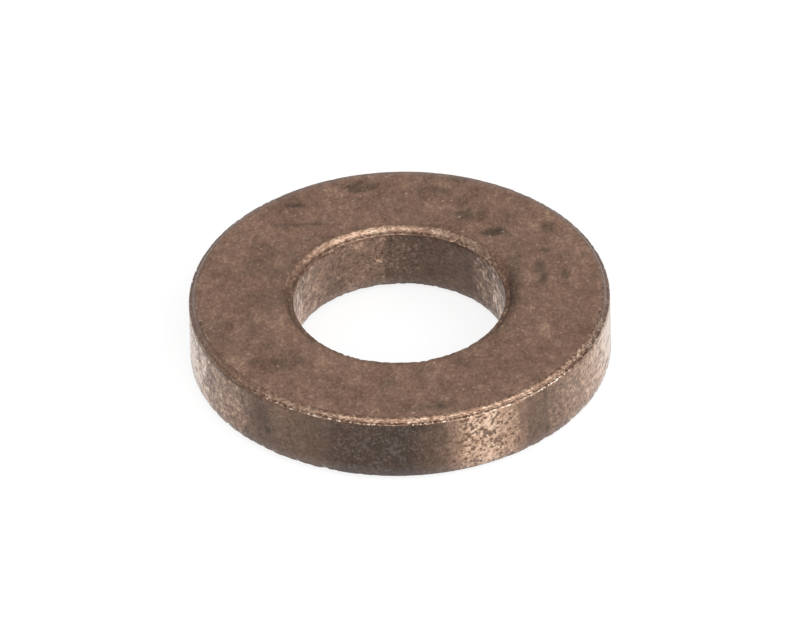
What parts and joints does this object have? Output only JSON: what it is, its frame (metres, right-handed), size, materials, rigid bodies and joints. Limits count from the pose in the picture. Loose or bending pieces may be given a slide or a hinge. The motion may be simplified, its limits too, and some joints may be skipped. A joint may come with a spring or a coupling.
{
  "type": "thrust spacer",
  "caption": "Thick flat ring of sintered bronze that runs on a shaft and takes end load between its faces, with rounded bevels on its rims.",
  "frame": {"origin": "centre of the lower thrust face, on the axis of the bore", "axes": "+Z along the bore, from the lower thrust face to the upper one; X and Y lie in the lower face"},
  "size_m": [0.0254, 0.0254, 0.0044],
  "materials": {
    "sintered_bronze": "matt, fine-grained and porous, with burnished rims"
  },
  "bodies": {
    "root": {"thrust_spacer": "sintered_bronze"}
  },
  "joints": []
}
